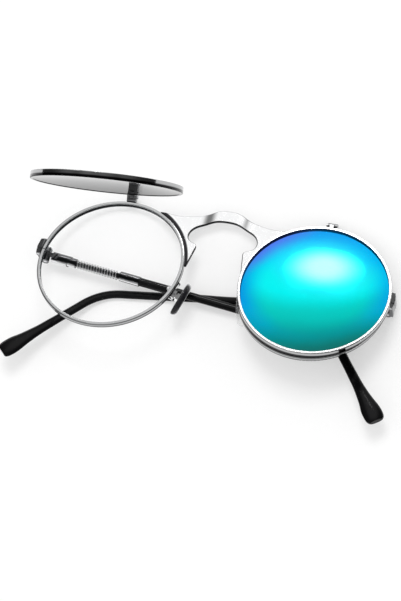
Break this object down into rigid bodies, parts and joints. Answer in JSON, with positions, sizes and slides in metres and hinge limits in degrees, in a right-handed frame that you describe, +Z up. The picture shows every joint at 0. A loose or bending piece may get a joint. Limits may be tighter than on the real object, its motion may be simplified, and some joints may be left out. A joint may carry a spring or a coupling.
{
  "type": "flip up sunglasses",
  "caption": "Round metal spectacles with hinged mirrored sun lenses that flip up, coil-sprung folding temples and nose pads.",
  "frame": {"origin": "middle of the underside of the box round the folded glasses, on the surface they lie on", "axes": "+X along the front towards the wearer's left hinge as seen from the front, +Y up the face, +Z up from the surface, out of the front"},
  "size_m": [0.138, 0.0702, 0.0573],
  "materials": {
    "polished_metal": "polished plated metal",
    "spring_steel": "bright drawn wire",
    "screw_steel": "turned steel",
    "ear_tip": "gloss black acetate",
    "clear_lens": "clear polished plastic",
    "mirror_lens": "blue-green mirror coat",
    "nose_pad": "clear soft plastic"
  },
  "bodies": {
    "front": {"bridge": "polished_metal", "left_clear_lens": "clear_lens", "left_end_piece": "polished_metal", "left_flip_base": "polished_metal", "left_flip_pin": "screw_steel", "left_hinge_screw": "screw_steel", "left_lock_block": "polished_metal", "left_pad_arm": "polished_metal", "left_rim": "polished_metal", "pad_screws": "screw_steel", "right_clear_lens": "clear_lens", "right_end_piece": "polished_metal", "right_flip_base": "polished_metal", "right_flip_pin": "screw_steel", "right_hinge_screw": "screw_steel", "right_lock_block": "polished_metal", "right_pad_arm": "polished_metal", "right_rim": "polished_metal", "rim_lock_screws": "screw_steel"},
    "left_temple": {"left_temple_arm": "polished_metal", "left_temple_core": "spring_steel", "left_temple_ferrule": "polished_metal", "left_temple_spring": "spring_steel", "left_temple_tip": "ear_tip"},
    "left_flip": {"left_flip_leaf": "polished_metal", "left_flip_lens": "mirror_lens", "left_flip_ring": "polished_metal"},
    "left_pad": {"left_nose_pad": "nose_pad", "left_pad_lug": "polished_metal"},
    "right_temple": {"right_temple_arm": "polished_metal", "right_temple_core": "spring_steel", "right_temple_ferrule": "polished_metal", "right_temple_spring": "spring_steel", "right_temple_tip": "ear_tip"},
    "right_flip": {"right_flip_leaf": "polished_metal", "right_flip_lens": "mirror_lens", "right_flip_ring": "polished_metal"},
    "right_pad": {"right_nose_pad": "nose_pad", "right_pad_lug": "polished_metal"}
  },
  "joints": [
    {"name": "left_temple_fold", "type": "hinge", "parent": "front", "child": "left_temple", "pos_m": [-0.0598, 0.00712, 0.00637], "axis": [-0.0063, 0.9441, -0.3297], "range_deg": [0, 88.9]},
    {"name": "right_temple_fold", "type": "hinge", "parent": "front", "child": "right_temple", "pos_m": [0.06224, 0.00636, 0.00211], "axis": [0.0074, -0.9332, 0.3592], "range_deg": [0, 87.2]},
    {"name": "left_flip_up", "type": "hinge", "parent": "front", "child": "left_flip", "pos_m": [-0.0346, 0.03265, 0.00379], "axis": [-0.9984, -0.0547, 0.0108], "range_deg": [-60.5, 39.5]},
    {"name": "right_flip_up", "type": "hinge", "parent": "front", "child": "right_flip", "pos_m": [0.03725, 0.0322, 0.00128], "axis": [-0.9969, 0.0212, 0.0758], "range_deg": [-1.5, 98.5]},
    {"name": "left_pad_rock", "type": "hinge", "parent": "front", "child": "left_pad", "pos_m": [-0.01052, -0.00145, 0.01096], "axis": [0.4095, 0.2383, 0.8806], "range_deg": [-10, 10]},
    {"name": "right_pad_rock", "type": "hinge", "parent": "front", "child": "right_pad", "pos_m": [0.01616, -0.00192, 0.00906], "axis": [-0.0672, 0.3224, 0.9442], "range_deg": [-8, 10]}
  ]
}
